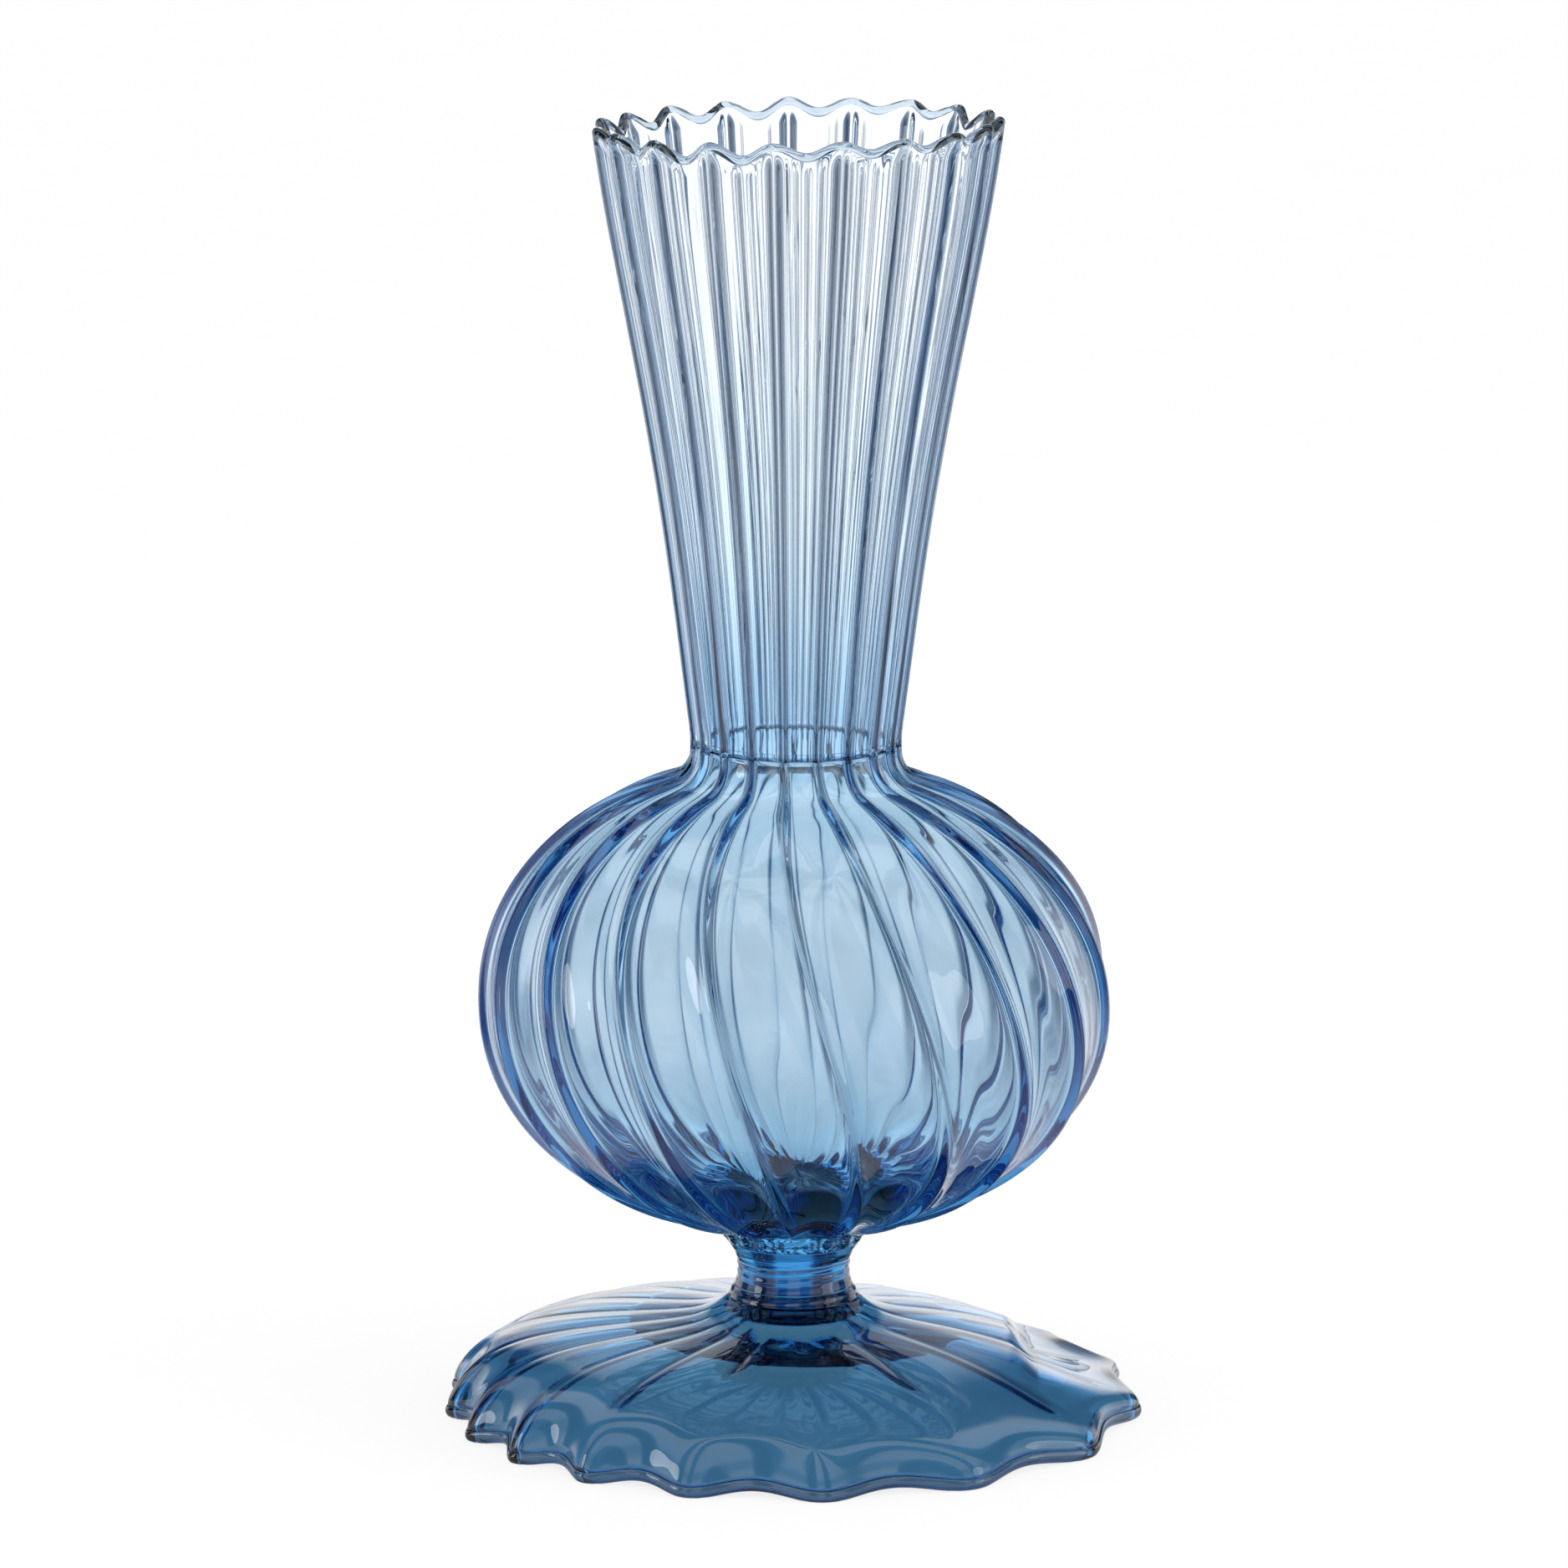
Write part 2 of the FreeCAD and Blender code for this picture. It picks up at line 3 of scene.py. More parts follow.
import bpy
import numpy as np
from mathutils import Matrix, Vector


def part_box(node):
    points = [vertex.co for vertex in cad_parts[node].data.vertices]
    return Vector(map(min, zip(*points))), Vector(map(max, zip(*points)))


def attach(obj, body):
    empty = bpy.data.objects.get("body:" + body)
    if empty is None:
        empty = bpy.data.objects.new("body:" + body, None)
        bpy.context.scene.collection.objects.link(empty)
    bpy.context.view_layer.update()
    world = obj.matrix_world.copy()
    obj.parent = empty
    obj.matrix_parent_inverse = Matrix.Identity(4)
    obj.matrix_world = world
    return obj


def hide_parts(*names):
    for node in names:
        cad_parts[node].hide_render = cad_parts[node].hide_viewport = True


# Hand-blown ribbed glass bud vase. Metres, +Z up, front towards -Y.

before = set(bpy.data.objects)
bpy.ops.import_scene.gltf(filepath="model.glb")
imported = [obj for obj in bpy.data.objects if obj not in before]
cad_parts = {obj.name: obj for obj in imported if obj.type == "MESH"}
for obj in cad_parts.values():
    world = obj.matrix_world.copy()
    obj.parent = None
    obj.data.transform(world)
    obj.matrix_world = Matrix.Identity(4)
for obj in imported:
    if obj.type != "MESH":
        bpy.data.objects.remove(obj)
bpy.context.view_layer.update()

MM = 0.001
RIBS = 19                      # ribs round every blown piece
FINE = 32                      # mesh columns from one rib to the next
COLUMNS = RIBS * FINE
LAP = 0.02 * MM                # how far each piece runs into its neighbour at a weld


# ---------------------------------------------------------------- sizes from the frame

def low(node):
    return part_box(node)[0].z


def high(node):
    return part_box(node)[1].z


def reach(node):
    """The greatest distance of a CAD node from the axis."""
    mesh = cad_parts[node].data
    spots = np.empty(len(mesh.vertices) * 3)
    mesh.vertices.foreach_get("co", spots)
    spots = spots.reshape(-1, 3)
    return float(np.hypot(spots[:, 0], spots[:, 1]).max())


MOUTH_TILT = 0.6 * MM
MOUTH_WAVE = 1.5 * MM
MOUTH_HIGH_SIDE = math.radians(15)

FOOT_TOP = low("lower_collar")
STEM_BASE = low("stem_spool")
STEM_TOP = high("stem_spool")
BULB_BASE = low("bulb_globe")
WELD_BASE = low("throat_weld")
NECK_BASE = low("neck_funnel")
NECK_HEIGHT = high("neck_funnel") - MOUTH_TILT - NECK_BASE
MOUTH_RADIUS = reach("neck_funnel")
BULB_RADIUS = reach("bulb_globe")
RIB_ANGLE = math.radians(-77.7)
TWIST = math.radians(26)

THROAT_RADIUS = 13.7 * MM
THROAT_RIB = 0.8 * MM          # how far the ribs stand out at the throat
THROAT_GLASS = 1.5 * MM        # thickness of the glass between the ribs there
THROAT_FOLLOW = 0.25           # share of the ribs' depth that the inside follows there
MOUTH_RIB = 1.3 * MM
MOUTH_GLASS = 1.0 * MM
MOUTH_FOLLOW = 0.75
# the neck's radius at its foot, at each quarter of its height and at its mouth
QUARTER_RADII = np.array([THROAT_RADIUS, 16.25 * MM, 19.3 * MM, 23.0 * MM, MOUTH_RADIUS])


# ---------------------------------------------------------------- mesh tools

COLUMN = np.arange(COLUMNS)
PHASE = (COLUMN % FINE) / FINE
ARCH = np.sin(np.pi * PHASE)           # 0 on a rib, 1 half way to the next
SWELL = np.cos(np.pi * PHASE) ** 2     # 1 on a rib, 0 half way to the next
EVEN = RIB_ANGLE + 2 * np.pi * COLUMN / COLUMNS


def mix(start, end, share):
    return start + (end - start) * share


def smooth(share):
    share = np.clip(share, 0, 1)
    return share * share * (3 - 2 * share)


def groove(roundness):
    """0 on a rib and 1 between ribs, with the rib's crest rounded off."""
    eased = np.sqrt(ARCH ** 2 + roundness ** 2)
    return (eased - roundness) / (math.sqrt(1 + roundness ** 2) - roundness)


def ridged():
    """0 on a rib and 1 between ribs, for a narrow ridge with a rounded crest."""
    away = np.minimum(PHASE, 1 - PHASE)
    return 0.6 * (1 - np.exp(-(away / 0.095) ** 2)) + 0.4 * groove(0.15)


def ripple(angle, height, seed):
    """Slow waves of hand-blown glass, about -1 to 1."""
    total = np.zeros(np.broadcast(angle, height).shape)
    for number in range(6):
        turns = 1 + (seed * 3 + number * 2) % 7
        rise = 40 + 37 * number + 11 * seed
        total += np.sin(turns * angle + rise * height + 1.7 * seed + 2.3 * number) / 6
    return total


def striae(angle, height, seed):
    """Fine upright cords in the melt, about -1 to 1."""
    total = np.zeros(np.broadcast(angle, height).shape)
    for number, turns in enumerate((41, 53, 67, 83, 97)):
        drift = (5 + 3 * number) * math.sin(seed + number)
        total += np.sin(turns * angle + drift * height + number * seed) / 5
    return total


def line_at(phase, width, radius):
    """1 on a line at a phase between two ribs, falling to 0 beside it. width and
    radius are lengths."""
    away = np.abs(PHASE - phase)
    across = np.minimum(away, 1 - away) * 2 * np.pi * radius / RIBS
    return np.exp(-(across / width) ** 2)


PLEAT_PHASES = (0.21, 0.38, 0.60, 0.79)
PLEAT_WIDTH = 0.011            # as a share of the radius


def pleats(radius, height, seed):
    """Fine sharp cords between the ribs, left by the mould: 0 to 1."""
    total = np.zeros(COLUMNS)
    for number, phase in enumerate(PLEAT_PHASES):
        strength = 0.5 + 0.5 * np.sin(2.4 * np.arange(RIBS) * (number + 1) + seed + number)
        shift = 0.05 * np.sin(1.9 * np.arange(RIBS) + number) + 0.03 * math.sin(60 * height)
        line = line_at(phase + np.repeat(shift, FINE), PLEAT_WIDTH * radius, radius)
        total += line * np.repeat(strength, FINE)
    return np.clip(total, 0, 1)


def ring(radius, angle, height):
    radius, angle, height = np.broadcast_arrays(radius, angle, height)
    return np.stack([radius * np.cos(angle), radius * np.sin(angle), height], axis=-1)


def evenly(points, count):
    """Points along a polyline, evenly spaced."""
    steps = np.linalg.norm(np.diff(points, axis=0), axis=1)
    along = np.concatenate([[0], np.cumsum(steps)])
    wanted = np.linspace(0, along[-1], count)
    return np.stack([np.interp(wanted, along, points[:, axis]) for axis in range(2)], axis=-1)


def through(points, count):
    """A smooth curve (natural cubic spline) through points, evenly sampled."""
    points = np.array(points)
    steps = np.linalg.norm(np.diff(points, axis=0), axis=1)
    knots = np.concatenate([[0], np.cumsum(steps)])
    last = len(points) - 1
    matrix = np.eye(last + 1)
    right = np.zeros_like(points)
    for at in range(1, last):
        before, after = steps[at - 1], steps[at]
        matrix[at, at - 1:at + 2] = before, 2 * (before + after), after
        right[at] = 6 * ((points[at + 1] - points[at]) / after
                         - (points[at] - points[at - 1]) / before)
    bend = np.linalg.solve(matrix, right)
    along = np.linspace(0, knots[-1], 12 * count)
    span = np.clip(np.searchsorted(knots, along, side="right") - 1, 0, last - 1)
    width = steps[span][:, None]
    left = (knots[span + 1] - along)[:, None]
    passed = (along - knots[span])[:, None]
    curve = (bend[span] * left ** 3 + bend[span + 1] * passed ** 3) / (6 * width)
    curve += (points[span] / width - bend[span] * width / 6) * left
    curve += (points[span + 1] / width - bend[span + 1] * width / 6) * passed
    return evenly(curve, count)


def quads_between(rows, columns, closed):
    """Corner numbers of the quads of a grid that is closed round the axis."""
    row = np.arange(rows if closed else rows - 1)
    column = np.arange(columns)
    row, column = np.meshgrid(row, column, indexing="ij")
    after_row = (row + 1) % rows
    after = (column + 1) % columns
    return np.stack([
        row * columns + column,
        row * columns + after,
        after_row * columns + after,
        after_row * columns + column,
    ], axis=-1).reshape(-1, 4)


def piece(name, rows, node, material, ends_capped=False, painted_line_shades=None, flat_rows=()):
    """A closed piece of glass from rings that run up its outside and down its inside.
    The rings close on themselves, or are capped at both ends. Painted dark shade may be
    given too, one value for each spot of each ring. The faces between each of flat_rows
    and the next row are an end face of the glass, and stay flat."""
    rows = np.array(rows)
    count, columns = rows.shape[0], rows.shape[1]
    spots = rows.reshape(-1, 3)
    quads = quads_between(count, columns, not ends_capped)
    faces = quads.tolist()
    if ends_capped:
        first, last = len(spots), len(spots) + 1
        spots = np.concatenate([spots, [rows[0].mean(axis=0)], [rows[-1].mean(axis=0)]])
        top_row = (count - 1) * columns
        for column in range(columns):
            after = (column + 1) % columns
            faces.append([first, after, column])
            faces.append([last, top_row + column, top_row + after])
    mesh = bpy.data.meshes.new(name)
    mesh.from_pydata(spots.tolist(), [], faces)
    rounded = np.ones(len(mesh.polygons), dtype=bool)
    rounded[len(quads):] = False
    for row in flat_rows:
        rounded[row * columns:(row + 1) * columns] = False
    mesh.polygons.foreach_set("use_smooth", rounded)
    mesh.update()
    mesh.materials.append(material)
    # painted dark shade along the ribs' lines, kept on the mesh for the glass to read
    if painted_line_shades is not None:
        values = np.zeros(len(mesh.vertices))
        values[:count * columns] = np.array(painted_line_shades).ravel()
        mesh.attributes.new("line_and_painted_shade", "FLOAT", "POINT").data.foreach_set("value", values)
    made = bpy.data.objects.new(name, mesh)
    bpy.context.scene.collection.objects.link(made)
    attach(made, "root")
    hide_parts(node)
    return made


# ---------------------------------------------------------------- glass materials

def ramp(nodes, stops):
    made = nodes.new("ShaderNodeValToRGB")
    bands = made.color_ramp.elements
    while len(bands) < len(stops):
        bands.new(0.5)
    for band, (at, colour) in zip(bands, stops):
        band.position = at
        band.color = (*colour, 1)
    return made


def glass(name, bottom, top, tints, absorbed, density, streak_scale, streak_depth,
          bump_height, polish, painted_shade_tint=None):
    """Tinted glass. tints are the skin's colours from the bottom to the top of the piece.
    absorbed and density set the colour of the glass itself. Painted shade: a dark tint is
    mixed in along lines marked on the mesh. polish is the roughness of the best polished
    skin."""
    material = bpy.data.materials.new(name)
    material.use_nodes = True
    nodes, links = material.node_tree.nodes, material.node_tree.links
    nodes.clear()
    output = nodes.new("ShaderNodeOutputMaterial")
    shader = nodes.new("ShaderNodeBsdfPrincipled")
    shader.inputs["Transmission Weight"].default_value = 1
    shader.inputs["IOR"].default_value = 1.5
    links.new(shader.outputs["BSDF"], output.inputs["Surface"])

    where = nodes.new("ShaderNodeTexCoord")
    split = nodes.new("ShaderNodeSeparateXYZ")
    links.new(where.outputs["Object"], split.inputs["Vector"])

    # colour that changes with height, from the tints
    level = nodes.new("ShaderNodeMapRange")
    level.inputs["From Min"].default_value = bottom
    level.inputs["From Max"].default_value = top
    links.new(split.outputs["Z"], level.inputs["Value"])
    tint = ramp(nodes, tints)
    links.new(level.outputs["Result"], tint.inputs["Fac"])

    # faint streaks and cloudiness in the melt
    stretch = nodes.new("ShaderNodeMapping")
    stretch.inputs["Scale"].default_value = streak_scale
    links.new(where.outputs["Object"], stretch.inputs["Vector"])
    cloud = nodes.new("ShaderNodeTexNoise")
    cloud.inputs["Scale"].default_value = 1
    cloud.inputs["Detail"].default_value = 3
    links.new(stretch.outputs["Vector"], cloud.inputs["Vector"])
    veil = ramp(nodes, [(0.3, (1 - streak_depth,) * 3), (0.7, (1, 1, 1))])
    links.new(cloud.outputs["Fac"], veil.inputs["Fac"])
    colour = nodes.new("ShaderNodeMix")
    colour.data_type = "RGBA"
    colour.blend_type = "MULTIPLY"
    colour.inputs["Factor"].default_value = 1
    links.new(tint.outputs["Color"], colour.inputs[6])
    links.new(veil.outputs["Color"], colour.inputs[7])
    # painted dark shade along the lines marked on the mesh, mixed into the skin's colour
    if painted_shade_tint:
        line_and_painted_shade = nodes.new("ShaderNodeAttribute")
        line_and_painted_shade.attribute_name = "line_and_painted_shade"
        painted_shade_mix = nodes.new("ShaderNodeMix")
        painted_shade_mix.data_type = "RGBA"
        links.new(line_and_painted_shade.outputs["Fac"], painted_shade_mix.inputs["Factor"])
        links.new(colour.outputs[2], painted_shade_mix.inputs[6])
        painted_shade_mix.inputs[7].default_value = (*painted_shade_tint, 1)
        links.new(painted_shade_mix.outputs[2], shader.inputs["Base Color"])
    else:
        links.new(colour.outputs[2], shader.inputs["Base Color"])

    # fire polish, a little duller in patches
    gloss = nodes.new("ShaderNodeMapRange")
    gloss.inputs["To Min"].default_value = polish
    gloss.inputs["To Max"].default_value = polish * 3
    links.new(cloud.outputs["Fac"], gloss.inputs["Value"])
    links.new(gloss.outputs["Result"], shader.inputs["Roughness"])

    # fine unevenness of the skin
    bump = nodes.new("ShaderNodeBump")
    bump.inputs["Strength"].default_value = 1
    bump.inputs["Distance"].default_value = bump_height
    links.new(cloud.outputs["Fac"], bump.inputs["Height"])
    links.new(bump.outputs["Normal"], shader.inputs["Normal"])

    depth = nodes.new("ShaderNodeVolumeAbsorption")
    depth.inputs["Color"].default_value = (*absorbed, 1)
    depth.inputs["Density"].default_value = density
    links.new(depth.outputs["Volume"], output.inputs["Volume"])
    return material


PALE_BLUE = (0.18, 0.53, 0.79)
BLUE = (0.15, 0.59, 0.83)
DEEP_BLUE = (0.10, 0.45, 0.68)
NECK_TOP = NECK_BASE + NECK_HEIGHT

# The lip's grey skin tint is painted shade on the rolled lip.
lip_glass = glass(
    "lip_glass", NECK_TOP - 2 * MM, NECK_TOP,
    [(0, (0.60, 0.65, 0.70)), (1, (0.66, 0.70, 0.74))],
    absorbed=PALE_BLUE, density=200, streak_scale=(90, 90, 90), streak_depth=0.05,
    bump_height=0.03 * MM, polish=0.004)
# The dark tint given for the neck's lines is painted shade along its rib flanks and cords.
neck_glass = glass(
    "neck_glass", NECK_BASE, NECK_TOP,
    [(0, (0.60, 0.77, 0.90)), (0.3, (0.86, 0.93, 0.97)), (0.7, (0.98, 0.99, 0.995)),
     (1, (1.0, 1.0, 1.0))],
    absorbed=PALE_BLUE, density=80, streak_scale=(160, 160, 14), streak_depth=0.03,
    bump_height=0.005 * MM, polish=0.003, painted_shade_tint=(0.004, 0.015, 0.05))
weld_glass = glass(
    "weld_glass", WELD_BASE, NECK_BASE,
    [(0, (0.30, 0.48, 0.68)), (1, (0.36, 0.54, 0.72))],
    absorbed=BLUE, density=250, streak_scale=(120, 120, 300), streak_depth=0.12,
    bump_height=0.04 * MM, polish=0.004)
# The bulb's tints are its blue glass, painted lighter at the shoulder as a painted highlight
# and lighter at the bottom as painted light. The dark tint given for its lines is painted
# shade along the ribs.
bulb_glass = glass(
    "bulb_glass", BULB_BASE, WELD_BASE,
    [(0, (0.86, 0.98, 1.0)), (0.2, (0.88, 0.91, 0.95)), (0.45, (0.76, 0.76, 0.78)),
     (0.8, (0.82, 0.82, 0.83)), (0.92, (0.96, 0.97, 0.98)), (1, (0.66, 0.80, 0.91))],
    absorbed=BLUE, density=240, streak_scale=(60, 60, 40), streak_depth=0.03,
    bump_height=0.01 * MM, polish=0.003, painted_shade_tint=(0.02, 0.045, 0.10))
collar_glass = glass(
    "collar_glass", FOOT_TOP, BULB_BASE,
    [(0, (0.50, 0.84, 0.95)), (1, (0.56, 0.87, 0.96))],
    absorbed=BLUE, density=130, streak_scale=(80, 80, 500), streak_depth=0.10,
    bump_height=0.05 * MM, polish=0.004)
stem_glass = glass(
    "stem_glass", STEM_BASE, STEM_TOP,
    [(0, (0.52, 0.82, 0.95)), (1, (0.56, 0.86, 0.96))],
    absorbed=BLUE, density=200, streak_scale=(60, 60, 700), streak_depth=0.15,
    bump_height=0.08 * MM, polish=0.004)
# The foot's tints are its deep blue glass, painted lighter towards the top of the dome as
# painted light. The dark tint given for its lines is painted shade along the ribs.
foot_glass = glass(
    "foot_glass", 0.0, FOOT_TOP,
    [(0, (0.13, 0.40, 0.66)), (0.6, (0.12, 0.38, 0.64)), (0.75, (0.20, 0.55, 0.82)),
     (1, (0.42, 0.82, 0.97))],
    absorbed=DEEP_BLUE, density=200, streak_scale=(70, 70, 70), streak_depth=0.08,
    bump_height=0.03 * MM, polish=0.004, painted_shade_tint=(0.012, 0.05, 0.14))
foot_edge_glass = glass(
    "foot_edge_glass", 0.0, 3 * MM,
    [(0, (0.20, 0.34, 0.50)), (1, (0.20, 0.34, 0.50))],
    absorbed=DEEP_BLUE, density=300, streak_scale=(70, 70, 70), streak_depth=0.08,
    bump_height=0.03 * MM, polish=0.004)


# ---------------------------------------------------------------- neck and lip

NECK_CURVE = np.polyfit(np.linspace(0, NECK_HEIGHT, 5), QUARTER_RADII, 4)
NECK_ROWS = 110
LIP_START = 0.97               # share of the neck's height where the ribs start to soften
WELD_CLEAR = 0.05              # share of the height over which the inside starts smooth
INSIDE_ROUNDING = 0.3          # how rounded the ribs are inside the neck and throat
PLEAT_LOW, PLEAT_HIGH = 0.12 * MM, 0.24 * MM
SKIN_WAVE, CORD_WAVE = 0.03 * MM, 0.008 * MM
FLANK = 0.065                  # where a rib's flank is steepest, from the rib's crest
FLANK_WIDTH = 0.012            # width of the painted dark line there, as a share of the radius


def neck_ring(height, inside):
    """One ring of the funnel, at a height above its lower end, and the painted dark shade
    along its lines. Its ribs soften just under the wavy lip."""
    share = max(0.0, height / NECK_HEIGHT)
    radius = np.polyval(NECK_CURVE, max(0.0, height))
    depth = mix(THROAT_RIB, MOUTH_RIB, share)
    wall = mix(THROAT_GLASS, MOUTH_GLASS, share)
    soften = smooth((share - LIP_START) / (1 - LIP_START))
    if inside:
        lines = (1 - soften) * pleats(radius, height, 1)
        follow = mix(THROAT_FOLLOW, MOUTH_FOLLOW, soften)
        clear = smooth(share / WELD_CLEAR)
        edge = radius - depth - wall + depth * follow * (1 - groove(INSIDE_ROUNDING))
        edge = edge + clear * (
            SKIN_WAVE * ripple(EVEN, height, 2) + CORD_WAVE * striae(EVEN, height, 2))
        edge = edge - mix(PLEAT_LOW, PLEAT_HIGH, share) * clear * lines
        # painted dark shade along the cords
        line_and_painted_shade = np.clip(mix(1.7, 1.0, share) * lines, 0, 1)
    else:
        edge = radius - depth * mix(ridged(), groove(0.5), soften)
        # painted dark shade along the steepest part of each rib's flanks
        width = FLANK_WIDTH * radius
        flanks = line_at(FLANK, width, radius) + line_at(1 - FLANK, width, radius)
        line_and_painted_shade = (1 - soften) * np.clip(1.3 * flanks, 0, 1)
    uneven = 1.1 + 0.25 * np.sin(3 * EVEN + 1) + 0.15 * np.sin(5 * EVEN)
    rise = MOUTH_TILT * np.cos(EVEN - MOUTH_HIGH_SIDE) - MOUTH_WAVE * uneven * (1 - SWELL)
    return ring(edge, EVEN, NECK_BASE + height + share ** 9 * rise), line_and_painted_shade


def neck_heights(lower_end):
    """Heights above the neck's base, closer together near the mouth."""
    first = lower_end - NECK_BASE
    return first + (NECK_HEIGHT - first) * (1 - (1 - np.linspace(0, 1, NECK_ROWS)) ** 1.5)


neck_rise = neck_heights(WELD_BASE - LAP)
neck_outer, outer_painted_shades = zip(*[neck_ring(height, False) for height in neck_rise])
neck_inner, inner_painted_shades = zip(*[neck_ring(height, True) for height in neck_rise])
piece("neck", neck_outer + neck_inner[::-1], "neck_funnel", neck_glass,
      painted_line_shades=outer_painted_shades + inner_painted_shades[::-1],
      flat_rows=(NECK_ROWS - 1, 2 * NECK_ROWS - 1))


EDGE_RINGS = 21


def rolled_edge(outer, inner, bead, turn):
    """Rings of a rolled edge of radius bead, from the outer edge of the glass round to
    the inner. turn is 1 where the glass runs up to its edge, and -1 where it runs out."""
    centre = (outer + inner) / 2
    across = (outer - inner)
    thick = np.linalg.norm(across, axis=1, keepdims=True)
    across = across / thick
    outward = outer * [1, 1, 0]
    outward = outward / np.linalg.norm(outward, axis=1, keepdims=True)
    radial = (across * outward).sum(axis=1, keepdims=True)
    forward = turn * (np.array([0, 0, 1]) * radial - outward * across[:, 2:3])
    bead = np.maximum(bead, thick / 2 * 1.02)      # always a little fuller than the glass
    middle = centre + forward * (np.sqrt(bead ** 2 - (thick / 2) ** 2) - LAP)
    first = np.pi - np.arcsin(thick / 2 / bead)
    angles = [first * (1 - 2 * row / (EDGE_RINGS - 1)) for row in range(EDGE_RINGS)]
    return [
        middle + bead * (forward * np.cos(angle) + across * np.sin(angle))
        for angle in angles
    ]


lip_bead = (0.69 + 0.03 * np.sin(4 * EVEN + 2) + 0.03 * np.sin(9 * EVEN))[:, None] * MM
lip_rows = rolled_edge(neck_outer[-1], neck_inner[-1], lip_bead, 1)
piece("lip", lip_rows, "mouth_lip", lip_glass, flat_rows=(EDGE_RINGS - 1,))


# ---------------------------------------------------------------- throat weld

# The thin wavy bead of glass inside the throat, where neck and globe were joined. It is
# thickest and most uneven at the front.
at_front = 0.5 - 0.5 * np.sin(EVEN)
weld_wave = 0.5 * np.sin(5 * EVEN) + 0.4 * np.sin(8 * EVEN + 1) + 0.2 * np.sin(19 * EVEN)
weld_middle = WELD_BASE + 0.25 * MM + 0.2 * MM * at_front * weld_wave
weld_tall = mix(0.08, 0.24, at_front) * MM * (1 + 0.25 * np.sin(7 * EVEN + 2))
weld_thick = mix(0.05, 0.12, at_front) * MM
weld_wall = (THROAT_RADIUS - THROAT_RIB - THROAT_GLASS
             + THROAT_RIB * THROAT_FOLLOW * (1 - groove(INSIDE_ROUNDING)))
weld_rows = []
for angle in np.linspace(0, 2 * np.pi, 16, endpoint=False):
    weld_rows.append(ring(
        weld_wall + weld_thick * (math.cos(angle) - 0.5),
        EVEN,
        weld_middle + weld_tall * math.sin(angle),
    ))
piece("weld", weld_rows, "throat_weld", weld_glass)


# ---------------------------------------------------------------- globe

BULB_RISE = 31.6 * MM          # of the globe's curve over its widest place
BULB_DROP = 30.4 * MM
CAD_DROP = 30.8 * MM           # the CAD globe's drop, from which its widest place follows
CAD_JOINT = 8.2 * MM
CURVE_POWER = 2 / 2.1          # 1 is an ellipse, and less is fuller
BASE_JOINT = 9.9 * MM          # radius where the globe meets the upper collar
INNER_BASE = 2.5 * MM
FILLET = 4.0 * MM              # radius of the turn from the throat into the crown
FILLET_RISE = 33.1 * MM        # where that turn starts, over the widest place
FILLET_TURN = math.radians(72)
GLOBE_RIB = 1.5 * MM
GLOBE_GLASS = 1.4 * MM
BASE_GLASS = 3.2 * MM
BULB_ROWS = 150
RIB_FADE, INNER_RIB_FADE = 0.12, 0.05     # share of the profile where the ribs run out
THROAT_ROWS, RIDGE_ROWS, CALM_ROWS = 25, 30, 12
BULB_WAVE = 0.018 * MM
RIB_LINE = 0.35 * MM           # width of the painted dark line along a rib


def curve_end(radius, joint):
    return math.acos((joint / radius) ** (1 / CURVE_POWER))


EQUATOR = BULB_BASE + CAD_DROP * math.sin(curve_end(BULB_RADIUS, CAD_JOINT)) ** CURVE_POWER
FILLET_HEIGHT = EQUATOR + FILLET_RISE
BULB_END = EQUATOR - BULB_DROP * math.sin(curve_end(BULB_RADIUS, BASE_JOINT)) ** CURVE_POWER


def globe_profile(radius, rise, drop, throat, joint, fillet):
    """Radius and height down a globe whose crown turns up into the throat."""
    turn = np.linspace(0, FILLET_TURN, 6)
    crown = np.linspace(math.radians(63), 0, 13)[:-1]
    lower = np.linspace(0, curve_end(radius, joint), 15)
    return through(np.concatenate([
        [[throat, WELD_BASE + LAP]],
        np.stack([throat + fillet * (1 - np.cos(turn)),
                  FILLET_HEIGHT - fillet * np.sin(turn)], axis=-1),
        np.stack([radius * np.cos(crown) ** CURVE_POWER,
                  EQUATOR + rise * np.sin(crown) ** CURVE_POWER], axis=-1),
        np.stack([radius * np.cos(lower) ** CURVE_POWER,
                  EQUATOR - drop * np.sin(lower) ** CURVE_POWER], axis=-1),
    ]), BULB_ROWS)


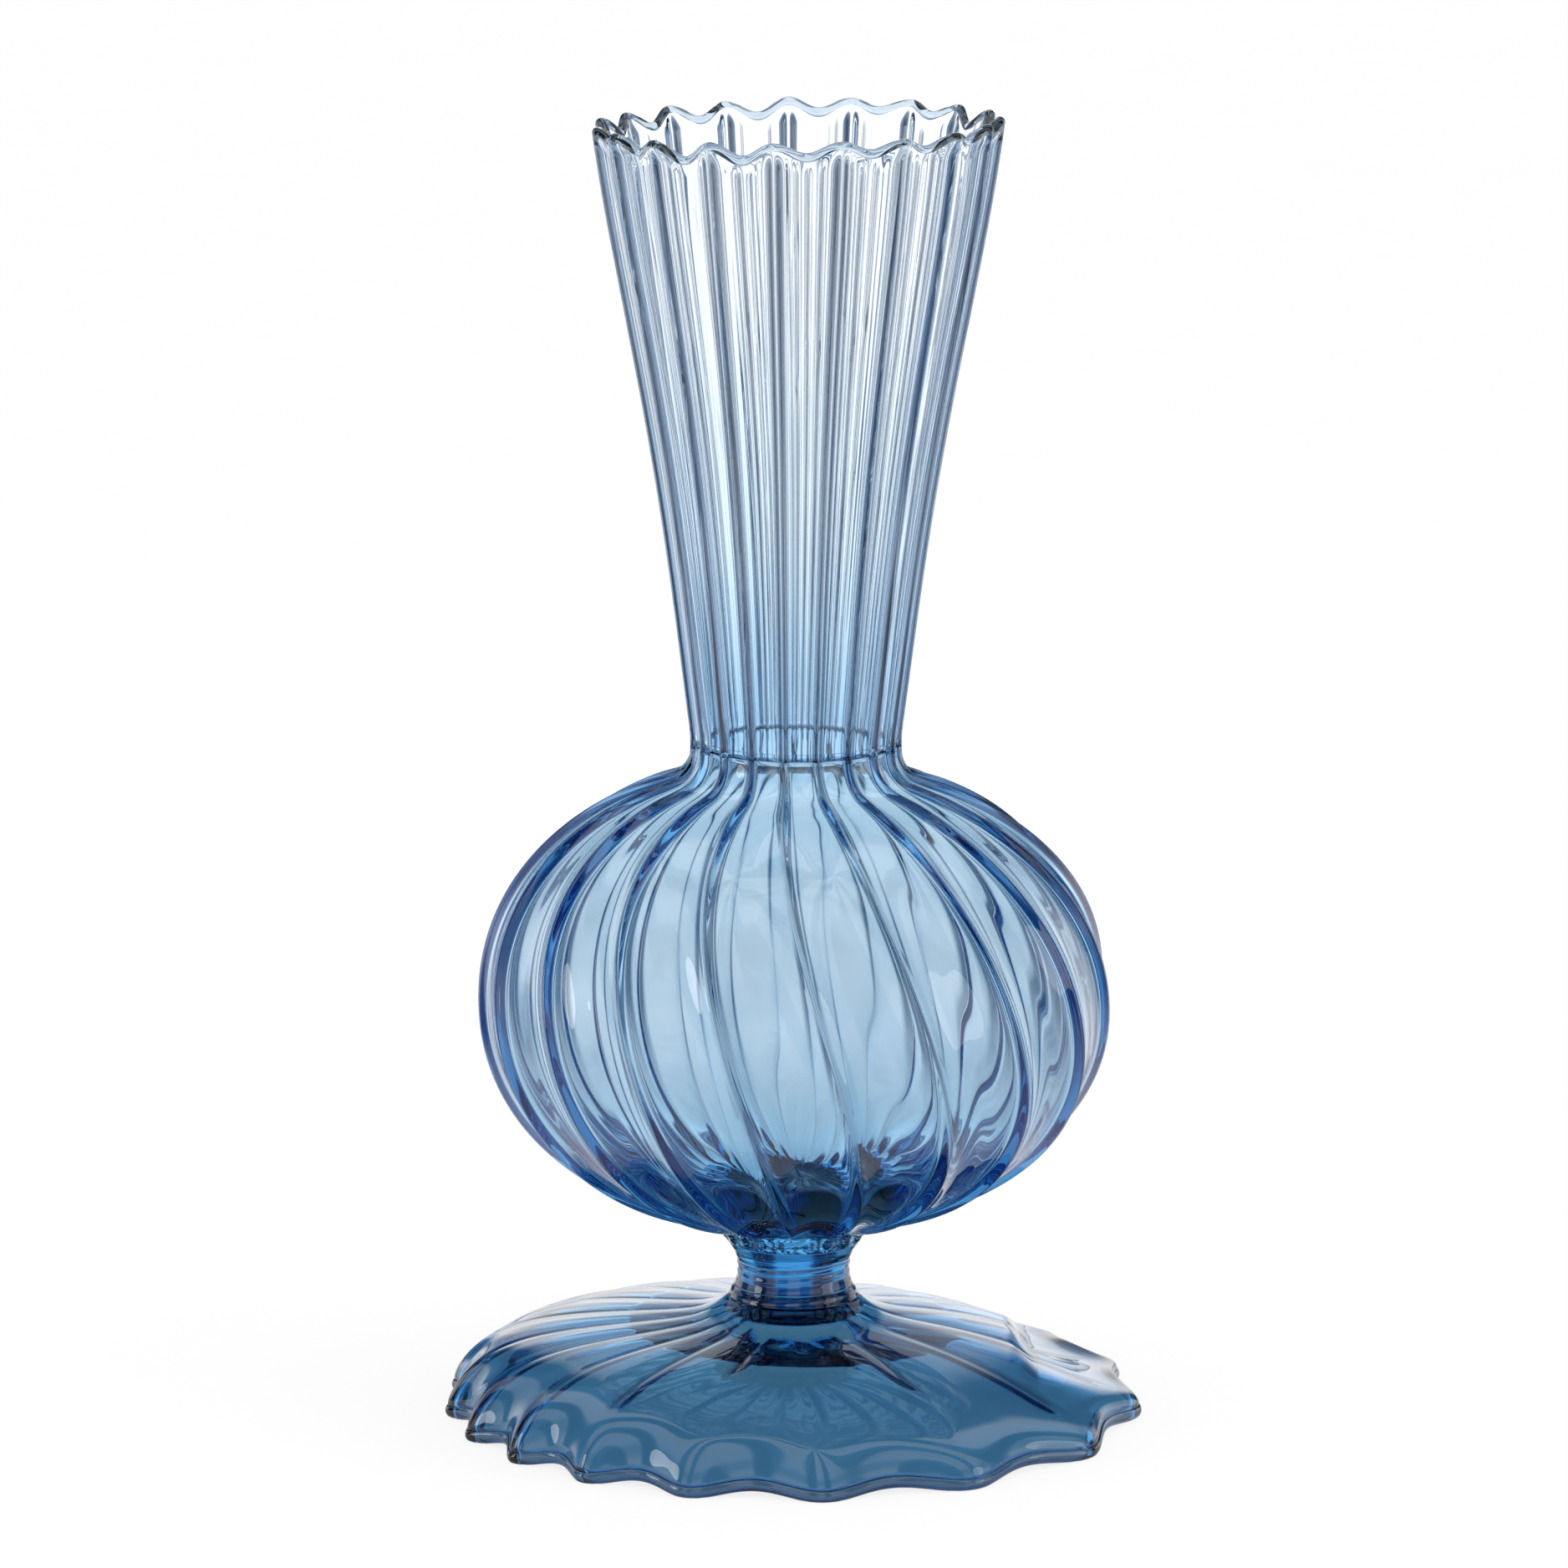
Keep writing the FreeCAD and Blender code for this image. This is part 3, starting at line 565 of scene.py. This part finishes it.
def globe_rings(profile, inside):
    """Rings down the globe, and the painted dark shade along the ribs of each. The ribs
    twist as they run down. They match the neck's at the throat and run out near the base."""
    gradient = np.gradient(profile, axis=0)
    gradient /= np.linalg.norm(gradient, axis=1, keepdims=True)
    throat, widest = profile[0][0], profile[:, 0].max()
    rings, painted_line_shades = [], []
    for number, ((radius, height), (along_r, along_z)) in enumerate(zip(profile, gradient)):
        girth = max(0.0, (radius - throat) / (widest - throat))
        left = 1 - number / (BULB_ROWS - 1)
        from_throat = smooth(number / THROAT_ROWS)
        depth = mix(THROAT_RIB, GLOBE_RIB, girth)
        depth *= smooth(left / (INNER_RIB_FADE if inside else RIB_FADE))
        if inside:
            depth *= mix(THROAT_FOLLOW, 0.4, from_throat)
            depth *= 1 + 1.2 * smooth((0.35 - left) / 0.2)
        crest = (1 - groove(0.10 if inside else 0.05)) ** mix(1.0, 1.7, girth)
        at_throat = groove(INSIDE_ROUNDING) if inside else ridged()
        sink = depth * mix(at_throat, 1 - crest, smooth(number / RIDGE_ROWS))
        twist = TWIST * max(0.0, FILLET_HEIGHT - height) / (FILLET_HEIGHT - BULB_END)
        angle = EVEN + twist
        calm = smooth(number / CALM_ROWS) * smooth((BULB_ROWS - number) / CALM_ROWS)
        sink = sink + calm * BULB_WAVE * ripple(angle, height, 4 if inside else 5)
        rings.append(ring(radius + sink * along_z, angle, height - sink * along_r))
        # painted dark shade along each rib, fainter inside
        line = mix(0.9, 0.45, from_throat) * line_at(0, RIB_LINE, radius)
        painted_line_shades.append(line * (0.3 if inside else 1.0) * smooth(left / 0.15))
    return rings, painted_line_shades


WALL_AT_RIBS = GLOBE_GLASS + 0.55 * GLOBE_RIB
THROAT_WALL = THROAT_GLASS + THROAT_RIB * (1 - THROAT_FOLLOW)
bulb_outer, outer_painted_shades = globe_rings(globe_profile(
    BULB_RADIUS, BULB_RISE, BULB_DROP, THROAT_RADIUS, BASE_JOINT, FILLET), False)
bulb_inner, inner_painted_shades = globe_rings(globe_profile(
    BULB_RADIUS - WALL_AT_RIBS, BULB_RISE - WALL_AT_RIBS, BULB_DROP - BASE_GLASS,
    THROAT_RADIUS - THROAT_WALL, INNER_BASE, FILLET + THROAT_WALL), True)
piece("globe", bulb_outer[::-1] + bulb_inner, "bulb_globe", bulb_glass, True,
      outer_painted_shades[::-1] + inner_painted_shades, (BULB_ROWS - 1,))


# ---------------------------------------------------------------- stem and collars

FOOT_JOINT = 8.5 * MM          # radius where the lower collar meets the foot
STEM_END = 7.75 * MM
WAIST = 7.3 * MM
STEM_SHOULDER = 8.7 * MM
STRIATION = 0.07 * MM
STRIATION_RATE = 5200          # radians for each metre of height

stem_curve = through([
    (FOOT_JOINT, FOOT_TOP), (STEM_END, STEM_BASE), (WAIST, mix(STEM_BASE, STEM_TOP, 0.4)),
    (STEM_END, mix(STEM_BASE, STEM_TOP, 0.75)), (STEM_SHOULDER, STEM_TOP),
    (BASE_JOINT, BULB_END),
], 120)


def turned(name, low_height, high_height, swell, rib_depth, node, material):
    """A solid piece of the stem, between two heights, with hand-turned striations."""
    rows = []
    for share in np.linspace(0, 1, 31):
        height = mix(low_height, high_height, share)
        radius = np.interp(height, stem_curve[:, 1], stem_curve[:, 0])
        bulge = math.sin(math.pi * share)
        striation = STRIATION * np.sin(STRIATION_RATE * height + 1.3 * np.sin(2 * EVEN))
        outline = radius + bulge * (swell + striation - rib_depth * groove(0.1))
        rows.append(ring(outline, EVEN, height + LAP * (2 * share - 1)))
    return piece(name, rows, node, material, True)


turned("collar_low", FOOT_TOP, STEM_BASE, 0.06 * MM, 0.0, "lower_collar",
       collar_glass)
turned("stem", STEM_BASE, STEM_TOP, 0.0, 0.0, "stem_spool", stem_glass)
turned("collar_high", STEM_TOP, BULB_END, 0.15 * MM, 0.45 * MM, "upper_collar",
       collar_glass)


# ---------------------------------------------------------------- foot

FOOT_RADIUS = reach("foot_dome")
FOOT_WALL = 1.5 * MM
FOOT_CENTRE_WALL = 3.4 * MM
FOOT_CEILING = FOOT_TOP - FOOT_CENTRE_WALL     # height of the hollow under the foot
CEILING_HUB = 3.0 * MM
FOOT_BEAD = 0.95 * MM
FOOT_ROWS = 90
EDGE_HEIGHT = low("foot_dome") + FOOT_WALL * 0.25
SCALLOP = 2.5 * MM             # how far the edge draws in between the ribs
EDGE_LIFT = 0.8 * MM           # how far it lifts there
FULLNESS = 3.96 * MM           # how much the dome leans towards its full side
FULL_SIDE = math.radians(-150)
LOBE = 0.15 * MM               # swell of the skin between two ribs
TOP_GROOVE, UNDER_GROOVE = 0.10 * MM, 0.45 * MM
FOLD_DEPTH = 2.8 * MM
FOLD_START, FOLD_RUN = 28 * MM, 4 * MM
FOLD_BEARING, FOLD_SPREAD = 22, 30        # degrees
FRONT_RIB = -86                # bearing of the front rib, in degrees
RIB_STEP = 19                  # degrees, about, from one rib to the next

# The ribs crowd at the left and the back and open out at the front right.
EVEN_FOOT = math.radians(-91.4) + 2 * np.pi * COLUMN / COLUMNS
FOOT_ANGLE = (EVEN_FOOT + math.radians(14) * np.sin(EVEN_FOOT + math.radians(44))
              + math.radians(6) * np.cos(2 * EVEN_FOOT - math.radians(22)))
# The painted dark lines of the ribs are faint at the back, because they are seen through the
# front too.
BACK_FADE = mix(1.0, 0.12, smooth((np.sin(FOOT_ANGLE) - 0.1) / 0.6))


def degrees_from(bearing):
    """Each column's angle from a bearing, in degrees from -180 to 180."""
    return (np.degrees(FOOT_ANGLE) - bearing + 180) % 360 - 180


def foot_profile():
    """Radius and height of the foot's skin from the stem out to its edge."""
    out = np.linspace(0, 1, 400)
    flare = 0.2 * np.exp(-out / 0.07)
    dome = 0.8 * (1 - out ** 1.8) ** 0.55
    return evenly(np.stack([
        mix(FOOT_JOINT, FOOT_RADIUS, out),
        mix(EDGE_HEIGHT, FOOT_TOP, flare + dome),
    ], axis=-1), FOOT_ROWS)


def hollow_profile(top):
    """The hollow under the foot: one wall's thickness inside the skin, with a flat
    ceiling over thicker glass in the middle."""
    slope = np.gradient(top, axis=0)
    slope /= np.linalg.norm(slope, axis=1, keepdims=True)
    thinning = np.clip(np.linspace(0, 1, FOOT_ROWS) / 0.35, 0, 1)
    wall = mix(FOOT_CENTRE_WALL, FOOT_WALL, thinning)[:, None]
    under = top + wall * np.stack([slope[:, 1], -slope[:, 0]], axis=-1)
    under = under[under[:, 1] < FOOT_CEILING]
    return evenly(np.concatenate([[[CEILING_HUB, FOOT_CEILING]], under]), FOOT_ROWS)


def fold_drop(radius, share):
    """The dome was pressed in on one side, and left a fold with a flat brim beyond."""
    beyond = smooth((radius * np.cos(FOOT_ANGLE) - FOLD_START) / FOLD_RUN)
    near = np.exp(-(degrees_from(FOLD_BEARING) / FOLD_SPREAD) ** 2)
    return FOLD_DEPTH * near * beyond * (1 - share ** 8)


def foot_ribs(radius, share):
    """How strongly the ribs of the foot show: in each column, and along them alone. The first
    sets their grooves and the painted dark strokes on them. They start outside the stem,
    and at the front they are short."""
    from_front = np.abs(degrees_from(FRONT_RIB)) / RIB_STEP
    start = mix(0.16, 0.04, smooth((from_front - 1) / 3))
    end = mix(0.28, 0.92, smooth(from_front / 2.4))
    along = smooth((share - start) / 0.10) * smooth((end - share) / 0.12)
    return along * line_at(0, mix(0.45, 0.85, share) * MM, radius), along


def foot_rings(profile, under):
    """Rings from the stem outwards, and the painted dark shade along the ribs of each."""
    first, last = profile[0][0], profile[-1][0]
    rings, painted_line_shades = [], []
    for radius, height in profile:
        share = min(1.0, max(0.0, (radius - first) / (last - first)))
        edge = share ** 7
        full = FULLNESS * share ** 2 * (1 - share ** 6)
        line_and_painted_shade, along = foot_ribs(radius, share)
        lobe = LOBE * along * ARCH ** 2 * math.sin(math.pi * share)
        rise = EDGE_LIFT * edge * (1 - SWELL) + full * np.cos(FOOT_ANGLE - FULL_SIDE)
        rise = rise - fold_drop(radius, share) + lobe
        rise = rise - (UNDER_GROOVE if under else TOP_GROOVE) * line_and_painted_shade
        rings.append(ring(radius - SCALLOP * edge * groove(0.4), FOOT_ANGLE,
                          np.maximum(height + rise, 0)))
        # painted dark strokes along the ribs, on the top skin only
        painted_line_shades.append(0 * line_and_painted_shade if under else line_and_painted_shade * BACK_FADE)
    return rings, painted_line_shades


foot_skin = foot_profile()
foot_under, under_painted_shades = foot_rings(hollow_profile(foot_skin), True)
foot_skin[0, 1] += LAP
foot_upper, upper_painted_shades = foot_rings(foot_skin, False)
piece("foot", foot_under + foot_upper[::-1], "foot_dome", foot_glass, True,
      under_painted_shades + upper_painted_shades[::-1], (FOOT_ROWS - 1,))
edge_rows = [
    np.maximum(row, [-np.inf, -np.inf, 0])     # nothing reaches below the floor
    for row in rolled_edge(foot_upper[-1], foot_under[-1], FOOT_BEAD, -1)
]
piece("foot_edge", edge_rows[::-1], "foot_edge", foot_edge_glass,
      flat_rows=(EDGE_RINGS - 1,))


# ---------------------------------------------------------------- floor

PANELS = 8                     # light panels round the vase
PANEL_STOPS = [(0.0, (0.04, 0.09, 0.17)), (0.26, (0.09, 0.17, 0.28)), (0.55, (1, 1, 1))]
PANEL_LEVEL = 1.55
BACKDROP_LEVEL = 1.035         # makes the floor white to the camera
OWN_LIGHT = 0.8                # share of what is seen of the floor that is its own light
PANELS_START, PANELS_FULL = 0.08, 0.26    # distances from the axis, on the floor
# painted shadow under the foot: the share of the floor's own light left there, for rays
# through glass
FOOT_SHADE = 0.46
SHADE_START, SHADE_END = 0.9, 1.25        # as shares of the foot's radius
FLOOR_HALF = 6.0


def chain(nodes, links):
    """A helper that adds one math node and returns its result."""
    def result(operation, *values):
        node = nodes.new("ShaderNodeMath")
        node.operation = operation
        for slot, value in enumerate(values):
            if isinstance(value, (int, float)):
                node.inputs[slot].default_value = value
            else:
                links.new(value, node.inputs[slot])
        return node.outputs[0]
    return result


def smooth_step(nodes, links, value, start, end, first_result=0.0):
    """A smooth change from first_result to 1, as value runs from start to end."""
    made = nodes.new("ShaderNodeMapRange")
    made.interpolation_type = "SMOOTHSTEP"
    made.inputs["From Min"].default_value = start
    made.inputs["From Max"].default_value = end
    made.inputs["To Min"].default_value = first_result
    links.new(value, made.inputs["Value"])
    return made.outputs["Result"]


def panels_by_bearing(nodes, links, result, x, y):
    """Light panels all round the vase with darker gaps between them."""
    wave = result("COSINE", result("MULTIPLY", result("ARCTAN2", y, x), PANELS))
    panels = ramp(nodes, PANEL_STOPS)
    links.new(result("MULTIPLY_ADD", wave, 0.5, 0.5), panels.inputs["Fac"])
    return panels.outputs["Color"]


def ray_kinds(nodes, result):
    """Whether a ray comes from the camera, and whether it has met glass."""
    path = nodes.new("ShaderNodeLightPath")
    in_glass = result("MAXIMUM", path.outputs["Is Glossy Ray"],
                      path.outputs["Is Transmission Ray"])
    return path.outputs["Is Camera Ray"], in_glass


def floor_material():
    """White paper that takes the vase's shadow. Glass sees the light panels in it too,
    and a painted shadow on the floor under the foot."""
    material = bpy.data.materials.new("floor_paper")
    material.use_nodes = True
    nodes, links = material.node_tree.nodes, material.node_tree.links
    nodes.clear()
    result = chain(nodes, links)
    output = nodes.new("ShaderNodeOutputMaterial")
    paper = nodes.new("ShaderNodeBsdfDiffuse")
    grain = nodes.new("ShaderNodeTexNoise")
    grain.inputs["Scale"].default_value = 400
    shade = ramp(nodes, [(0.3, (0.88, 0.88, 0.88)), (0.7, (0.90, 0.90, 0.90))])
    links.new(grain.outputs["Fac"], shade.inputs["Fac"])
    links.new(shade.outputs["Color"], paper.inputs["Color"])

    place = nodes.new("ShaderNodeNewGeometry")
    split = nodes.new("ShaderNodeSeparateXYZ")
    links.new(place.outputs["Position"], split.inputs["Vector"])
    x, y = split.outputs["X"], split.outputs["Y"]
    out = result("SQRT", result("ADD", result("MULTIPLY", x, x), result("MULTIPLY", y, y)))
    camera_ray, in_glass = ray_kinds(nodes, result)
    far = smooth_step(nodes, links, out, PANELS_START, PANELS_FULL)
    patterned = result("MULTIPLY", in_glass, far)
    light = nodes.new("ShaderNodeMix")
    light.data_type = "RGBA"
    light.inputs[6].default_value = (1, 1, 1, 1)
    links.new(panels_by_bearing(nodes, links, result, x, y), light.inputs[7])
    links.new(patterned, light.inputs["Factor"])
    white = nodes.new("ShaderNodeEmission")
    links.new(light.outputs[2], white.inputs["Color"])
    level = result("MULTIPLY_ADD", patterned, PANEL_LEVEL - BACKDROP_LEVEL, BACKDROP_LEVEL)
    # painted shadow under the foot, in the floor's own light that glass sees
    clear = smooth_step(nodes, links, out, SHADE_START * FOOT_RADIUS,
                        SHADE_END * FOOT_RADIUS, FOOT_SHADE)
    shaded = result("MAXIMUM", camera_ray, clear)
    links.new(result("MULTIPLY", level, shaded), white.inputs["Strength"])

    blend = nodes.new("ShaderNodeMixShader")
    own_light = result("MULTIPLY", result("MAXIMUM", camera_ray, in_glass), OWN_LIGHT)
    links.new(own_light, blend.inputs["Fac"])
    links.new(paper.outputs["BSDF"], blend.inputs[1])
    links.new(white.outputs["Emission"], blend.inputs[2])
    links.new(blend.outputs["Shader"], output.inputs["Surface"])
    return material


floor_mesh = bpy.data.meshes.new("floor")
floor_mesh.from_pydata(
    [(-FLOOR_HALF, -FLOOR_HALF, 0), (FLOOR_HALF, -FLOOR_HALF, 0),
     (FLOOR_HALF, FLOOR_HALF, 0), (-FLOOR_HALF, FLOOR_HALF, 0)],
    [], [(0, 1, 2, 3)])
floor_mesh.materials.append(floor_material())
floor = bpy.data.objects.new("floor", floor_mesh)
floor.location.z = -0.05 * MM
bpy.context.scene.collection.objects.link(floor)


# ---------------------------------------------------------------- studio

WORLD_LEVEL = 0.95
# how bright the panels are from the horizon up to straight overhead
RISE_STOPS = [(0.0, (1, 1, 1)), (0.16, (1, 1, 1)), (0.34, (0.45, 0.51, 0.58)),
              (0.52, (0.40, 0.47, 0.54)), (0.66, (0.85, 0.90, 0.95)), (1, (1, 1, 1))]


def studio_world():
    """White to the camera. Glass sees a ring of light panels with darker gaps between
    them, and a plain soft level lights the floor."""
    world = bpy.data.worlds.new("studio")
    bpy.context.scene.world = world
    world.use_nodes = True
    nodes, links = world.node_tree.nodes, world.node_tree.links
    nodes.clear()
    result = chain(nodes, links)
    where = nodes.new("ShaderNodeTexCoord")
    split = nodes.new("ShaderNodeSeparateXYZ")
    links.new(where.outputs["Generated"], split.inputs["Vector"])
    rise = ramp(nodes, RISE_STOPS)
    links.new(split.outputs["Z"], rise.inputs["Fac"])
    studio_colour = nodes.new("ShaderNodeMix")
    studio_colour.data_type = "RGBA"
    studio_colour.blend_type = "MULTIPLY"
    studio_colour.inputs["Factor"].default_value = 1
    links.new(panels_by_bearing(nodes, links, result, split.outputs["X"],
                                split.outputs["Y"]), studio_colour.inputs[6])
    links.new(rise.outputs["Color"], studio_colour.inputs[7])

    camera_ray, in_glass = ray_kinds(nodes, result)
    soft = nodes.new("ShaderNodeBackground")
    soft.inputs["Color"].default_value = (1, 1, 1, 1)
    soft.inputs["Strength"].default_value = WORLD_LEVEL
    studio = nodes.new("ShaderNodeBackground")
    links.new(studio_colour.outputs[2], studio.inputs["Color"])
    studio.inputs["Strength"].default_value = PANEL_LEVEL
    white = nodes.new("ShaderNodeBackground")
    white.inputs["Color"].default_value = (1, 1, 1, 1)
    glass_or_soft = nodes.new("ShaderNodeMixShader")
    links.new(in_glass, glass_or_soft.inputs["Fac"])
    links.new(soft.outputs["Background"], glass_or_soft.inputs[1])
    links.new(studio.outputs["Background"], glass_or_soft.inputs[2])
    all_rays = nodes.new("ShaderNodeMixShader")
    links.new(camera_ray, all_rays.inputs["Fac"])
    links.new(glass_or_soft.outputs["Shader"], all_rays.inputs[1])
    links.new(white.outputs["Background"], all_rays.inputs[2])
    output = nodes.new("ShaderNodeOutputWorld")
    links.new(all_rays.outputs["Shader"], output.inputs["Surface"])


studio_world()


def softbox(name, bearing, width, tall, power):
    """A light panel that shows only as a reflection, at a bearing in degrees."""
    data = bpy.data.lights.new(name, "AREA")
    data.shape = "ELLIPSE"
    data.size, data.size_y = width, tall
    data.energy = power
    lamp = bpy.data.objects.new(name, data)
    angle = math.radians(bearing)
    lamp.location = (SOFTBOX_REACH * math.cos(angle), SOFTBOX_REACH * math.sin(angle),
                     SOFTBOX_HEIGHT)
    lamp.rotation_euler = (math.radians(90), 0, angle + math.radians(90))
    lamp.visible_camera = False
    lamp.visible_transmission = False
    bpy.context.scene.collection.objects.link(lamp)


SOFTBOX_REACH = 0.5
SOFTBOX_HEIGHT = 0.16
# panels within panels, so that the reflection at the right fades out softly
for number, share in enumerate((1.0, 0.84, 0.68, 0.52, 0.36)):
    softbox(f"softbox_right_{number}", -18, 0.26 * share, 0.34 * share, 0.5 * share ** 2)
softbox("softbox_left", -165, 0.14, 0.26, 0.4)


# ---------------------------------------------------------------- camera

PICTURE_WIDTH = 1876           # pixels
LOOK_DOWN = 11.08              # degrees
ROLL = -0.22

camera_data = bpy.data.cameras.new("camera")
camera_data.sensor_width = 36
camera_data.lens = 177.5
camera_data.shift_x = -20.5 / PICTURE_WIDTH
camera_data.clip_start = 0.01
camera_data.clip_end = 100
camera = bpy.data.objects.new("camera", camera_data)
camera.location = (0, -0.9801, 0.2750)
camera.rotation_euler = (math.radians(90 - LOOK_DOWN), math.radians(ROLL), 0)
bpy.context.scene.collection.objects.link(camera)
bpy.context.scene.camera = camera

bpy.context.scene.view_settings.view_transform = "Standard"
# light takes many bounces inside the glass; fewer leave black patches
bpy.context.scene.cycles.max_bounces = 32
bpy.context.scene.cycles.glossy_bounces = 24
bpy.context.scene.cycles.transmission_bounces = 32
